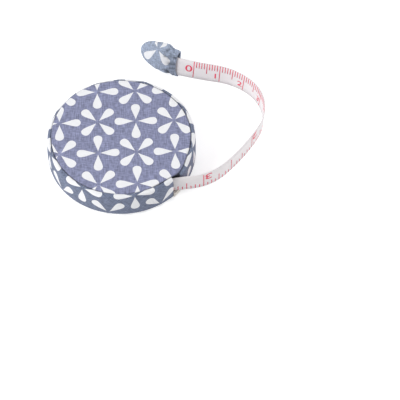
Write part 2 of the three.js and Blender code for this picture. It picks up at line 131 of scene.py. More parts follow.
class CoverSettings(bpy.types.PropertyGroup):
    """Cloth cover of the case and its flower print"""

    cloth: length("Cloth", "Thickness of the cloth", 0.5 * MM)
    band_radius: length("Band radius", "Outside of the side band", node_high("side_cloth").x)
    panel_radius: length("Panel radius", "Outside of the top panel", node_high("top_cloth").x)
    base_radius: length("Base radius", "Outside of the bottom panel", node_high("bottom_cloth").x)
    top_round: length("Top round", "Radius of the band's top edge", 1.2 * MM)
    bottom_round: length("Bottom round", "Radius of the band's bottom edge", 1.4 * MM)
    crown: length("Crown", "Rise of the top panel's middle", 0.3 * MM)
    seam: length("Seam", "Width of the groove between the panel and the band", 0.32 * MM)
    gap_start: angle("Gap start", "Where the band's left end meets the slot", -52.5)
    gap_end: angle("Gap end", "Where the band's right end meets the slot", -44.5)
    gap_slant: angle("Gap slant", "Turn by which the band's right end draws back at the bottom", 0.5)
    hem: length("Hem", "Length of the band's right end that is turned into the slot", 3.2 * MM)
    hem_offset: length("Hem offset", "Distance of the turned-in hem from the case's middle", 18.95 * MM)
    belly: length("Belly", "Bulge of the band halfway up the wall", 0.3 * MM)
    overhang: length("Overhang", "Reach of the top panel over the slot", 1.1 * MM)
    back_reach: length("Back reach", "Reach of the top panel over the band at the back left", 0.55 * MM)
    front_reach: length("Front reach", "Push of the top panel against the band at the front", 0.3 * MM)
    ground: colour("Ground", "Blue-grey of the top panel", (0.257, 0.274, 0.427))
    # Same cloth as the top panel, made darker as painted shade, for the band's side that stood in shade
    side_ground_with_painted_shade: colour("Side ground", "Blue-grey of the band and the base", (0.172, 0.203, 0.300))
    petal: colour("Petal", "White of the print", (0.955, 0.96, 0.985))
    pitch: length("Pitch", "Distance between neighbouring flowers", 14.0 * MM)
    petal_start: length("Petal start", "Distance of a petal's point from the flower's middle", 0.5 * MM)
    petal_length: length("Petal length", "Length of a petal", 7.3 * MM)
    petal_width: length("Petal width", "Greatest width of a petal", 3.4 * MM)


class TapeSettings(bpy.types.PropertyGroup):
    """Drawn tape and its printed scales"""

    width: length("Width", "Width of the tape", 7.5 * MM)
    thick: length("Thickness", "Thickness of the tape", 0.35 * MM)
    middle: length("Middle height", "Height of the tape's middle at the slot", 6.45 * MM)
    offset: length("Exit offset", "Distance of the tape from the reel's axis", 19.9 * MM)
    zero_before_tab: length("Zero", "Distance of the zero line from the tab", 5.7 * MM)
    ink_thick: length("Ink", "Thickness of the printed ink", 0.03 * MM)
    line: length("Line", "Width of a printed line", 0.32 * MM)
    bold: length("Bold", "Extra stroke width of a printed number", 0.08 * MM)
    inch_digit: length("Inch digit", "Height of a number on the inch scale", 3.2 * MM)
    zero_digit: length("Zero digit", "Height of the centimetre scale's zero", 2.75 * MM)
    small_digit: length("Small digit", "Height of the centimetre scale's other numbers", 2.1 * MM)
    white: colour("White", "Coated tape", (0.90, 0.86, 0.877))
    ink: colour("Ink colour", "Red of the printed scales", (0.80, 0.02, 0.085))


class TabSettings(bpy.types.PropertyGroup):
    """Padded cloth tab at the tape's end"""

    length: length("Length", "Length of the tab", 14.7 * MM)
    height: length("Height", "Height of the tab", 12.4 * MM)
    thick: length("Thickness", "Thickness of the tab", 4.4 * MM)
    mouth_height: length("Mouth height", "Height of the tab at its mouth", 10.9 * MM)
    mouth_thick: length("Mouth thickness", "Thickness of the tab at its mouth", 1.7 * MM)
    mouth_lift: length("Mouth lift", "Middle of the mouth above the tape's middle", 1.15 * MM)
    tip_lift: length("Tip lift", "Middle of the tip above the tape's middle", 3.6 * MM)
    scoop: length("Scoop", "Depth of the hollow in the mouth's near edge", 1.1 * MM)
    cloth: length("Cloth", "Thickness of the tab's cloth", 0.4 * MM)
    # Same cloth as the cover, made lighter as painted light, for the tab that stood well lit
    ground: colour("Ground", "Blue-grey of the tab", (0.36, 0.42, 0.545))
    crinkle: length("Crinkle", "Depth of the fine crinkles over the wadding", 0.16 * MM)
    gather: plain_number("Gather", "Flat cloth per length of the tab", 1.25, least=1)
    fullness: plain_number("Fullness", "Flat cloth per height of the tab", 1.1, least=1)
    slack: plain_number("Slack", "Share by which the cloth is too large for the tab", 0.12)
    pressure: plain_number("Pressure", "Push of the wadding on the cloth", 1.5)
    steps: whole_number("Steps", "Rings along the tab", 40, least=8)
    sides: whole_number("Sides", "Points around the tab", 72, least=12)


class SpringSettings(bpy.types.PropertyGroup):
    """Springs inside the case"""

    wire: length("Wire", "Thickness of the return spring's wire", 0.5 * MM)
    coils: whole_number("Coils", "Turns of the return spring", 4)
    leaf: length("Leaf", "Thickness of the mainspring", 0.3 * MM)
    turns: whole_number("Turns", "Turns of the mainspring", 5, least=2)
    inner: length("Inner radius", "Radius of the mainspring at its inner end", 7.9 * MM)
    outer: length("Outer radius", "Radius of the mainspring at its outer end", 12.65 * MM)
    bend: length("Bend", "Radius of the bend into each hook", 0.5 * MM)
    hook: length("Hook", "Reach of the inner hook from the bend into the arbor", 0.8 * MM)


class StageSettings(bpy.types.PropertyGroup):
    """Camera, light and floor"""

    azimuth: angle("Azimuth", "Turn of the camera about the upright", -8)
    elevation: angle("Elevation", "Height angle of the camera", 55.05)
    distance: length("Distance", "Distance of the camera from its aim", 0.95)
    aim: point("Aim", "Point in the middle of the picture", (25.73 * MM, -23.69 * MM, 0))
    lens: plain_number("Lens", "Focal length in mm on a 36 mm sensor", 234.4, least=1)
    lamp_size: length("Lamp size", "Width of each light", 0.7)
    key_power: plain_number("Key", "Power of the key light in watts", 5.2)
    key_place: point("Key place", "Where the key light stands", (-0.70, -0.18, 0.50))
    fill_share: plain_number("Fill", "Power of the fill light as a share of the key's", 0.6)
    fill_place: point("Fill place", "Where the fill light stands", (0.80, 0.10, 0.34))
    ambient: plain_number("Ambient", "Strength of the light from all round", 0.5)
    floor: colour("Floor", "Pale floor", (0.86, 0.86, 0.86))
    floor_glow: plain_number("Floor glow", "Brightness added to the floor where it is seen", 0.52)


class NodeSheet:
    """Node tree that is filled by short calls; an input given as a socket is linked, and any other is set."""

    def __init__(self, tree):
        self.tree = tree
        self.tree.nodes.clear()

    def add(self, kind, inputs=None, **settings):
        node = self.tree.nodes.new(kind)
        for name, value in settings.items():
            setattr(node, name, value)
        for key, value in (inputs or {}).items():
            self.put(node.inputs[key], value)
        return node

    def put(self, socket, value):
        if isinstance(value, bpy.types.NodeSocket):
            self.tree.links.new(value, socket)
        else:
            socket.default_value = value

    def math(self, operation, *values, clamp=False):
        node = self.add("ShaderNodeMath", operation=operation, use_clamp=clamp)
        for socket, value in zip(node.inputs, values):
            self.put(socket, value)
        return node.outputs[0]

    def wrap(self, value, span):
        """Value folded into the range from -span/2 to span/2."""
        return self.math("WRAP", value, span / 2, -span / 2)

    def split(self, vector):
        node = self.add("ShaderNodeSeparateXYZ", {"Vector": vector})
        return node.outputs["X"], node.outputs["Y"]

    def place(self, source):
        """Place on the piece: "Object" for metres from the origin, or "UV" for metres of flat cloth."""
        return self.add("ShaderNodeTexCoord").outputs[source]

    def stretch(self, vector, scale):
        return self.add("ShaderNodeMapping", {"Vector": vector, "Scale": scale}).outputs["Vector"]

    def noise(self, vector, scale, detail=2.0):
        inputs = {"Vector": vector, "Scale": scale, "Detail": detail}
        return self.add("ShaderNodeTexNoise", inputs).outputs["Fac"]

    def weave(self, vector, pitch):
        """Ups and downs of crossing threads."""
        x, y = self.split(vector)
        warp = self.math("SINE", self.math("MULTIPLY", x, TURN / pitch))
        weft = self.math("SINE", self.math("MULTIPLY", y, TURN / pitch))
        return self.math("MULTIPLY", warp, weft)

    def mix(self, factor, first, second, blend="MIX"):
        node = self.add("ShaderNodeMix", data_type="RGBA", blend_type=blend)
        self.put(node.inputs["Factor"], factor)
        self.put(node.inputs["A"], first)
        self.put(node.inputs["B"], second)
        return node.outputs["Result"]

    def bump(self, height, distance, strength=1.0, below=None):
        inputs = {"Height": height, "Distance": distance, "Strength": strength}
        if below is not None:
            inputs["Normal"] = below
        return self.add("ShaderNodeBump", inputs).outputs["Normal"]

    def surface(self, inputs):
        """Finished surface from the inputs of a Principled shader."""
        shader = self.add("ShaderNodeBsdfPrincipled", inputs)
        self.add("ShaderNodeOutputMaterial", {"Surface": shader.outputs["BSDF"]})

    def shown(self):
        """Whether a ray shows what it meets: from the camera, in a reflection or through something clear."""
        rays = self.add("ShaderNodeLightPath").outputs
        straight = self.math("MAXIMUM", rays["Is Camera Ray"], rays["Is Glossy Ray"])
        return self.math("MAXIMUM", straight, rays["Is Transmission Ray"])


def rgba(three):
    return (*three, 1.0)


def darker(three, share):
    return rgba(value * share for value in three)


def new_material(name):
    material = bpy.data.materials.new(name)
    material.use_nodes = True
    return material, NodeSheet(material.node_tree)


def flower_print(cover):
    """Node group that turns a place on the cloth into petal masks, of the whole print and of one flower."""
    tree = bpy.data.node_groups.new("Flower Print", "ShaderNodeTree")
    tree.interface.new_socket("Place", in_out="INPUT", socket_type="NodeSocketVector")
    tree.interface.new_socket("All", in_out="OUTPUT", socket_type="NodeSocketFloat")
    tree.interface.new_socket("Single", in_out="OUTPUT", socket_type="NodeSocketFloat")
    sheet = NodeSheet(tree)
    place = sheet.add("NodeGroupInput").outputs["Place"]
    x, y = sheet.split(place)
    diagonal = math.sqrt(0.5)
    across = sheet.math("MULTIPLY", sheet.math("ADD", x, y), diagonal)
    along = sheet.math("MULTIPLY", sheet.math("SUBTRACT", y, x), diagonal)
    span = cover.pitch / diagonal
    wobble = 0.16 * MM
    edge = sheet.math("MULTIPLY_ADD", sheet.noise(place, scale=1400), wobble, -wobble / 2)

    def four_petals(first, second):
        """Mask of the petals along two axes; each swells from a point and closes in a round end."""
        swell_power = 1.15
        close_power = 4.0
        fullest = 0.6
        soft_edge = 0.12 * MM
        first = sheet.math("ABSOLUTE", first)
        second = sheet.math("ABSOLUTE", second)
        far = sheet.math("SUBTRACT", sheet.math("MAXIMUM", first, second), cover.petal_start)
        near = sheet.math("ADD", sheet.math("MINIMUM", first, second), edge)
        share = sheet.math("DIVIDE", far, cover.petal_length, clamp=True)
        swell = sheet.math("POWER", share, swell_power)
        close = sheet.math("SQRT", sheet.math("SUBTRACT", 1.0, sheet.math("POWER", share, close_power)))
        shape = sheet.math("MULTIPLY", swell, close)
        half = sheet.math("MULTIPLY", shape, cover.petal_width / 2 / fullest)
        return sheet.math("DIVIDE", sheet.math("SUBTRACT", half, near), soft_edge, clamp=True)

    upright_across = sheet.wrap(across, span)
    upright_along = sheet.wrap(along, span)
    upright = four_petals(
        sheet.math("MULTIPLY", sheet.math("SUBTRACT", upright_across, upright_along), diagonal),
        sheet.math("MULTIPLY", sheet.math("ADD", upright_across, upright_along), diagonal),
    )
    slanted = four_petals(
        sheet.wrap(sheet.math("ADD", across, span / 2), span),
        sheet.wrap(sheet.math("ADD", along, span / 2), span),
    )
    single = four_petals(across, along)
    sheet.add("NodeGroupOutput", {"All": sheet.math("MAXIMUM", upright, slanted), "Single": single})
    return tree


def cloth_material(name, cover, ground, source, turn, centre, flowers_shown="All"):
    """Printed cotton: source is "Object" or "UV", and turn and centre lay the print on the piece."""
    thread_pitch = 0.42 * MM
    thread_height = 0.05 * MM
    nap_height = 0.06 * MM
    warp_slubs = (2600.0, 330.0, 1.0)
    weft_slubs = (500.0, 2600.0, 1.0)
    grain = 1.3
    fading = 0.2
    show_through = 0.06
    # Brightness of the painted shade, as a share of the ground
    painted_shade_tone = 0.2
    flowers = bpy.data.node_groups.get("Flower Print") or flower_print(cover)
    material, sheet = new_material(name)
    place = sheet.add("ShaderNodeMapping", {
        "Vector": sheet.place(source),
        "Location": (*centre, 0.0),
        "Rotation": (0.0, 0.0, turn),
    }, vector_type="TEXTURE").outputs["Vector"]
    group = sheet.add("ShaderNodeGroup", node_tree=flowers)
    sheet.put(group.inputs["Place"], place)
    petal = group.outputs[flowers_shown]
    warp_slub = sheet.noise(sheet.stretch(place, warp_slubs), scale=1.0)
    weft_slub = sheet.noise(sheet.stretch(place, weft_slubs), scale=1.0)
    yarns = sheet.math("MULTIPLY_ADD", sheet.math("ADD", warp_slub, weft_slub), grain, 1 - grain)
    fade = sheet.math("MULTIPLY_ADD", sheet.noise(place, scale=160), fading, 1 - fading / 2)
    shade = sheet.math("MULTIPLY", yarns, fade)
    tone = sheet.add("ShaderNodeCombineColor", {"Red": shade, "Green": shade, "Blue": shade}).outputs["Color"]
    dyed = sheet.mix(1.0, rgba(ground), tone, blend="MULTIPLY")
    white = sheet.mix(sheet.math("MULTIPLY", warp_slub, show_through), rgba(cover.petal), rgba(ground))
    # The "fold" attribute carries painted shade: where it is 1, the cloth takes its ground darkened to a
    # fifth, as shade in seams, wrinkle valleys and the slot.
    fold = sheet.add("ShaderNodeAttribute", attribute_name="fold").outputs["Fac"]
    threads = sheet.bump(sheet.weave(place, thread_pitch), thread_height, strength=0.5)
    nap = sheet.noise(place, scale=900, detail=3.0)
    sheet.surface({
        "Base Color": sheet.mix(fold, sheet.mix(petal, dyed, white), darker(ground, painted_shade_tone)),
        "Roughness": 0.88,
        "Sheen Weight": 0.12,
        "Sheen Roughness": 0.6,
        "Specular IOR Level": 0.25,
        "Normal": sheet.bump(nap, nap_height, strength=0.4, below=threads),
    })
    return material


def moulded_plastic(name, base, roughness):
    """Moulded plastic with a fine grain and slightly uneven tone."""
    material, sheet = new_material(name)
    place = sheet.place("Object")
    tone = sheet.noise(place, scale=180, detail=3.0)
    grain = sheet.noise(place, scale=6000)
    sheet.surface({
        "Base Color": sheet.mix(tone, darker(base, share=0.9), rgba(base)),
        "Roughness": roughness,
        "Normal": sheet.bump(grain, distance=0.01 * MM, strength=0.4),
    })
    return material


def drawn_steel(name, base):
    """Steel with fine drawing marks."""
    material, sheet = new_material(name)
    mark_scale = (900.0, 900.0, 9000.0)
    least_rough = 0.25
    rough_range = 0.2
    marks = sheet.noise(sheet.stretch(sheet.place("Object"), mark_scale), scale=1.0)
    sheet.surface({
        "Base Color": sheet.mix(marks, darker(base, share=0.8), rgba(base)),
        "Metallic": 1.0,
        "Roughness": sheet.math("MULTIPLY_ADD", marks, rough_range, least_rough),
        "Normal": sheet.bump(marks, distance=0.004 * MM, strength=0.3),
    })
    return material


def fibre_felt(name, base):
    """Board, wadding or rubber: matt with a fibrous grain."""
    material, sheet = new_material(name)
    fibres = sheet.noise(sheet.place("Object"), scale=2500, detail=4.0)
    sheet.surface({
        "Base Color": sheet.mix(fibres, darker(base, share=0.75), rgba(base)),
        "Roughness": 0.95,
        "Normal": sheet.bump(fibres, distance=0.08 * MM, strength=0.6),
    })
    return material


def coated_tape(name, tape):
    """White coated tape with its fine fabric showing through the coating."""
    yarn_pitch = 0.5 * MM
    material, sheet = new_material(name)
    place = sheet.place("UV")
    tone = sheet.noise(place, scale=260, detail=3.0)
    sheet.surface({
        "Base Color": sheet.mix(tone, darker(tape.white, share=0.94), rgba(tape.white)),
        "Roughness": 0.42,
        "Coat Weight": 0.15,
        "Coat Roughness": 0.3,
        "Normal": sheet.bump(sheet.weave(place, yarn_pitch), distance=0.006 * MM, strength=0.5),
    })
    return material


def printing_ink(name, tape):
    """Red ink with a slightly worn, uneven strength."""
    most_wear = 0.12
    material, sheet = new_material(name)
    patches = sheet.noise(sheet.place("Object"), scale=1500, detail=3.0)
    wear = sheet.math("MULTIPLY", patches, most_wear)
    sheet.surface({
        "Base Color": sheet.mix(wear, rgba(tape.ink), rgba(tape.white)),
        "Roughness": 0.5,
    })
    return material


def new_piece(name, mesh_maker, material, body):
    """Object at the origin with one material, riding on a body, or on none."""
    mesh = bpy.data.meshes.new(name)
    mesh_maker.to_mesh(mesh)
    mesh_maker.free()
    mesh.shade_smooth()
    mesh.materials.append(material)
    piece = bpy.data.objects.new(name, mesh)
    bpy.context.scene.collection.objects.link(piece)
    if body:
        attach(piece, body)
    return piece


def spun(profile, steps, start, sweep):
    """Open skin of a profile of (radius, height) points turned about Z."""
    across = math.cos(start)
    along = math.sin(start)
    maker = bmesh.new()
    points = [maker.verts.new((reach * across, reach * along, height)) for reach, height in profile]
    edges = [maker.edges.new(pair) for pair in zip(points, points[1:])]
    full = math.isclose(sweep, TURN)
    bmesh.ops.spin(maker, geom=points + edges, cent=(0, 0, 0), axis=(0, 0, 1), angle=sweep, steps=steps,
                   use_merge=full)
    bmesh.ops.remove_doubles(maker, verts=maker.verts, dist=0.001 * MM)
    bmesh.ops.recalc_face_normals(maker, faces=maker.faces)
    return maker


def round_corner(centre, radius, start, end, steps):
    """Points of a quarter round in a profile, between two angles in degrees."""
    points = []
    for step in range(steps + 1):
        turn = math.radians(start + (end - start) * step / steps)
        points.append((centre[0] + radius * math.cos(turn), centre[1] + radius * math.sin(turn)))
    return points


def ease(low, high, value):
    """Smooth step from 0 at low to 1 at high."""
    share = min(max((value - low) / (high - low), 0.0), 1.0)
    return share * share * (3 - 2 * share)


def thicken(maker, thick):
    """Gives an open skin its thickness, inwards, and turns the faces outward."""
    bmesh.ops.solidify(maker, geom=maker.faces[:], thickness=thick)
    bmesh.ops.recalc_face_normals(maker, faces=maker.faces)


def give_thickness(piece, thick, offset):
    """Live thickness of an open skin: offset is -1 under the skin and 0 on both sides of it."""
    wall = piece.modifiers.new("Thickness", "SOLIDIFY")
    wall.thickness = thick
    wall.offset = offset


def face_towards(maker, side):
    """Turns an open skin's faces to the given side."""
    bmesh.ops.recalc_face_normals(maker, faces=maker.faces)
    if sum(face.normal.dot(side) * face.calc_area() for face in maker.faces) < 0:
        bmesh.ops.reverse_faces(maker, faces=maker.faces[:])


def lay_painted_shade(maker, depth):
    """Paints shade: stores in the "fold" attribute how much painted shade each point gets, from 0 to 1, by a
    function of its place.
    """
    layer = maker.verts.layers.float.new("fold")
    for vert in maker.verts:
        vert[layer] = depth(vert.co)


def tape_stations(tape, first, last, step):
    """Places, headings and leans along the tape between two lengths from the coil."""
    count = math.ceil((last - first) / step)
    return [tape_frame(tape, first + (last - first) * i / count) for i in range(count + 1)]


def tape_frame(tape, run):
    """Matrix at a length along the tape: X along it, Y up its width, Z out of its outer face."""
    place = Vector((min(run, STRAIGHT_RUN), -tape.offset, tape.middle))
    left = max(run - STRAIGHT_RUN, 0.0)
    place.z -= LOOP_FALL * min(left / LOOP_LENGTH, 1.0)
    heading = 0.0
    lean = 0.0
    for bend_length, turn, end_lean in BENDS:
        part = min(left, bend_length * MM)
        share = part / (bend_length * MM)
        swing = math.radians(turn) * share
        if abs(swing) > 1e-9:
            chord = 2 * part / swing * math.sin(swing / 2)
            place += chord * Vector((math.cos(heading + swing / 2), math.sin(heading + swing / 2), 0))
        heading += swing
        lean += (math.radians(end_lean) - lean) * share
        left -= part
        if left <= 0:
            break
    along = Vector((math.cos(heading), math.sin(heading), 0))
    place += along * left
    outward = Vector((along.y, -along.x, 0))
    up = Vector((0, 0, math.cos(lean))) + outward * math.sin(lean)
    axes = Matrix((along, up, along.cross(up))).transposed().to_4x4()
    return Matrix.Translation(place) @ axes


def ribbon(tape, first, last, step):
    """Flat tape on edge between two lengths along its path."""
    stations = tape_stations(tape, first, last, step)
    rows = 4
    maker = bmesh.new()
    bmesh.ops.create_grid(maker, x_segments=len(stations) - 1, y_segments=rows, size=0.5)
    layer = maker.loops.layers.uv.new("cloth")
    for face in maker.faces:
        for loop in face.loops:
            co = loop.vert.co
            loop[layer].uv = (first + (co.x + 0.5) * (last - first), co.y * tape.width)
    for vert in maker.verts:
        station = stations[round((vert.co.x + 0.5) * (len(stations) - 1))]
        vert.co = station @ Vector((0, vert.co.y * tape.width, tape.thick / 2))
    begin = stations[0]
    maker.normal_update()
    nearest = min(maker.faces, key=lambda face: (face.calc_center_median() - begin.translation).length)
    if nearest.normal.dot(begin.to_3x3().col[2]) < 0:
        bmesh.ops.reverse_faces(maker, faces=maker.faces[:])
    thicken(maker, tape.thick)
    return maker


def panel_rise(cover, pad_radius, reach):
    """Height of the padded top over its rim at a distance from the axis."""
    return cover.crown * max(1 - (reach / pad_radius) ** 2, 0.0)


def hump(around, peak, left, right):
    """Smooth hump of height 1 at a peak around the case; peak and spread on either side are in degrees."""
    away = math.degrees(math.remainder(around - math.radians(peak), TURN))
    return math.exp(-((away / (left if away < 0 else right)) ** 2))


def slot_hump(cover, around):
    """Where the top panel hangs over the slot."""
    return hump(around, peak=math.degrees(cover.gap_end) - 1, left=7, right=12)


def back_hump(around):
    """Where the top panel comes out over the band at the back left."""
    return hump(around, peak=128, left=42, right=42)


def front_hump(around):
    """Where the top panel presses against the band at the front."""
    return hump(around, peak=-95, left=26, right=20)


def rim_reach(cover, around):
    """How far the top panel's rim reaches past its plain circle."""
    reach = cover.overhang * slot_hump(cover, around) + cover.back_reach * back_hump(around)
    return reach + cover.front_reach * front_hump(around)


def seam_shade(place):
    """Strength of the painted shade at the bottom of the seam, which closes at the front."""
    open_shade = 0.8
    lost_at_front = 0.6
    return open_shade - lost_at_front * front_hump(math.atan2(place.y, place.x))


class TAPEMEASURE_OT_top_panel(bpy.types.Operator):
    """Round cloth panel over the top, and the wadding under it"""

    bl_idname = "tapemeasure.top_panel"
    bl_label = "Top Panel"

    def execute(self, context):
        cover = context.scene.tape_cover
        pad = self.wadding(cover)
        low = node_low("top_cloth").z
        high = low + cover.cloth
        radius = cover.panel_radius - cover.seam / 2
        seam_top = low + 0.35 * MM
        seam_bottom = low - 0.1 * MM
        maker = spun(self.profile(cover, radius, low, high), steps=240, start=0, sweep=TURN)
        self.settle(maker, cover, radius)
        face_towards(maker, Vector((0, 0, 1)))
        # Painted shade where the panel's rim dives into the seam, growing towards its lowest edge.
        lay_painted_shade(maker, lambda place: seam_shade(place) * ease(seam_top, seam_bottom, place.z))
        material = cloth_material("Top Cotton", cover, cover.ground, source="Object", turn=math.radians(-6),
                                  centre=(6.1 * MM, 5.7 * MM))
        panel = new_piece("top_panel", maker, material, None)
        give_thickness(panel, cover.cloth, -1)
        self.follow_press(panel, cover, high)
        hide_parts("top_cloth")
        return {"FINISHED"}

    def profile(self, cover, radius, low, high):
        """Outer skin from the middle over the rolled rim and down into the seam."""
        rings = 30
        roll = 0.6 * MM
        tuck_in = 0.05 * MM
        tuck_under = 0.2 * MM
        flat_radius = radius - roll
        pad_radius = node_high("top_pad").x
        points = []
        for ring in range(rings + 1):
            reach = flat_radius * ring / rings
            points.append((reach, high + panel_rise(cover, pad_radius, reach)))
        points += round_corner((flat_radius, high - roll), roll, start=80, end=0, steps=6)
        points.append((radius - tuck_in, low - tuck_under))
        return points

    def settle(self, maker, cover, radius):
        """Lets the rim sag and wander, and reach past its circle."""
        sag = 0.08 * MM
        wander = 0.12 * MM
        rim_scale = 6
        sag_scale = 1.7
        wander_scale = 0.8
        soft_from = radius * 0.8
        for vert in maker.verts:
            edge = ease(soft_from, radius, math.hypot(vert.co.x, vert.co.y))
            around = math.atan2(vert.co.y, vert.co.x)
            rim = Vector((math.cos(around), math.sin(around), 0)) * rim_scale
            vert.co.z += sag * (noise.noise(rim * sag_scale) - 1) * edge
            shift = wander * noise.noise(rim * wander_scale) + rim_reach(cover, around)
            spread = 1 + shift / radius * edge
            vert.co.x *= spread
            vert.co.y *= spread

    def wadding(self, cover):
        """Thin pad under the panel, crowned in the middle."""
        low = node_low("top_pad").z
        high = node_low("top_cloth").z
        radius = node_high("top_pad").x
        rings = 16
        under_cloth = 0.01 * MM
        profile = [(0, low), (radius * 0.5, low), (radius, low), (radius, high)]
        for ring in range(1, rings + 1):
            reach = radius * (1 - ring / rings)
            profile.append((reach, high + panel_rise(cover, radius, reach) - under_cloth))
        maker = spun(profile, steps=96, start=0, sweep=TURN)
        pad = new_piece("top_wadding", maker, fibre_felt("Top Wadding", WADDING_WHITE), None)
        self.follow_press(pad, cover, high)
        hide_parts("top_pad")
        return pad

    def follow_press(self, piece, cover, high):
        """Bakes the piece's placement into its mesh."""
        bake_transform(piece)


class TAPEMEASURE_OT_side_band(bpy.types.Operator):
    """Cloth band around the side, turned over both edges, with a turned-in hem beside the slot"""

    bl_idname = "tapemeasure.side_band"
    bl_label = "Side Band"

    def execute(self, context):
        cover = context.scene.tape_cover
        low = node_low("side_cloth").z
        high = node_high("side_cloth").z
        sweep = self.sweep(cover)
        hem_angle = cover.hem / cover.band_radius
        maker = spun(self.profile(cover, low, high), steps=360, start=cover.gap_end - hem_angle,
                     sweep=sweep + hem_angle)
        self.lay_flat(maker, cover, low, high)
        self.settle(maker, cover, low, high)
        thicken(maker, cover.cloth)
        # Painted shade on the hem inside the slot and in the seam under the panel's rim.
        lay_painted_shade(maker, lambda place: self.shade(cover, high, place))
        # The band takes the darker ground that carries painted shade.
        material = cloth_material("Side Cotton", cover, cover.side_ground_with_painted_shade, source="UV", turn=math.radians(45),
                                  centre=(140.0 * MM, 2.4 * MM))
        band = new_piece("side_band", maker, material, "case")
        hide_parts("side_cloth")
        return {"FINISHED"}

    def sweep(self, cover):
        """Angle around the case from the fold at the band's right end to its left end."""
        return TURN - (cover.gap_end - cover.gap_start)

    def run(self, cover, place):
        """Length around the band from the fold at its right end, negative on the hem."""
        rounding = 0.02
        hem_angle = cover.hem / cover.band_radius
        around = (math.atan2(place.y, place.x) - cover.gap_end + hem_angle) % TURN
        if around > self.sweep(cover) + hem_angle + rounding:
            around = 0.0
        return around * cover.band_radius - cover.hem

    def lay_flat(self, maker, cover, low, high):
        """UV map in metres of flat cloth, along the band and up it, with its turned-over edges laid out."""
        layer = maker.loops.layers.uv.new("cloth")
        for face in maker.faces:
            for loop in face.loops:
                place = loop.vert.co
                inward = cover.band_radius - math.hypot(place.x, place.y)
                above = place.z > (low + high) / 2
                loop[layer].uv = (self.run(cover, place), place.z + (inward if above else -inward))

    def settle(self, maker, cover, low, high):
        """Bulges the band, lowers it under the panel's rim and turns its hem into the slot."""
        lump = 0.22 * MM
        lump_scale = 0.5
        dimple = 0.12 * MM
        dimple_scale = 1.4
        puff = 0.6 * MM
        puff_length = 2.6 * MM
        puff_middle = puff_length * 0.6
        right_fold = 1.1 * MM
        left_fold = 0.5 * MM
        slant_length = 6 * MM
        hem_bend = 1 * MM
        ripple = 0.18 * MM
        ripple_scale = 0.9
        slot_press = 0.2 * MM
        back_press = 0.4 * MM
        around_scale = 330
        upward_scale = 1.2
        # Shares of the band's height between which each change sets in
        uneven = (0.1, 0.9)
        puffed = (0.0, 0.4)
        unfolded = (0.55, 0.85)
        rippled = (0.85, 1.0)
        lowered = (0.7, 1.0)
        whole = self.sweep(cover) * cover.band_radius
        for vert in maker.verts:
            right = self.run(cover, vert.co)
            outside = max(right, 0.0)
            height = (vert.co.z - low) / (high - low)
            spot = Vector((vert.co.x * around_scale, vert.co.y * around_scale, height * upward_scale))
            bulge = lump * noise.noise(spot * lump_scale) + dimple * noise.noise(spot * dimple_scale)
            bulge = bulge * ease(*uneven, height) + cover.belly * math.sin(math.pi * height)
            swell = math.exp(-(((outside - puff_middle) / puff_length) ** 2))
            bulge += puff * swell * ease(*puffed, height)
            bulge -= self.turned_in(right, right_fold) * (1 - ease(*unfolded, height))
            bulge -= self.turned_in(whole - right, left_fold)
            reach = math.hypot(vert.co.x, vert.co.y) + bulge
            drawn_back = cover.gap_slant * (1 - height) * (1 - ease(0.0, slant_length, right))
            turn = cover.gap_end + drawn_back + outside / cover.band_radius
            vert.co.x = reach * math.cos(turn) + min(right, 0.0)
            vert.co.y = reach * math.sin(turn)
            vert.co.y += (-cover.hem_offset - vert.co.y) * ease(0.0, -hem_bend, right)
            pressed = slot_press * slot_hump(cover, turn) + back_press * back_hump(turn)
            vert.co.z += ripple * noise.noise(spot * ripple_scale) * ease(*rippled, height)
            vert.co.z -= pressed * ease(*lowered, height)

    def shade(self, cover, high, place):
        """Amount of painted shade: whole on the hem in the slot, so that the slot's hole looks dark, and
        growing into the seam under the panel's rim.
        """
        fold_room = 0.3 * MM
        slot_edge = cover.band_radius * math.cos(cover.gap_end) - fold_room
        hem_room = 0.8 * MM
        seam_outside = 0.25 * MM
        seam_inside = -0.1 * MM
        wall_end = high * 0.5
        top_start = high * 0.8
        if 0 < place.x < slot_edge and abs(place.y + cover.hem_offset) < hem_room:
            return 1.0
        rim = cover.panel_radius + rim_reach(cover, math.atan2(place.y, place.x))
        past_rim = math.hypot(place.x, place.y) - rim
        on_top = ease(wall_end, top_start, place.z)
        return seam_shade(place) * ease(seam_outside, seam_inside, past_rim) * on_top

    def profile(self, cover, low, high):
        """Outer skin from under the case, up the wall, over the rim and down into the seam."""
        radius = cover.band_radius
        under = radius - cover.bottom_round
        over = radius - cover.top_round
        wall_low = low + cover.bottom_round
        wall_high = high - cover.top_round
        under_reach = 2.4 * MM
        under_lift = 0.02 * MM
        seam_reach = 1.2 * MM
        seam_drop = 0.05 * MM
        steps = 8
        points = [(under - under_reach, low + under_lift)]
        points += round_corner((under, wall_low), cover.bottom_round, start=-90, end=0, steps=steps)
        points += [(radius, wall_low + (wall_high - wall_low) * step / steps) for step in range(1, steps)]
        points += round_corner((over, wall_high), cover.top_round, start=0, end=90, steps=steps)
        points += round_corner((over, high - cover.seam), cover.seam, start=100, end=180, steps=4)
        points.append((over - cover.seam - seam_reach, high - cover.seam - seam_drop))
        return points

    def turned_in(self, distance, size):
        """How far inwards the cloth rounds off at a turned-in end."""
        share = min(max(distance / size, 0.0), 1.0)
        return size * (1 - math.sqrt(1 - (1 - share) ** 2))


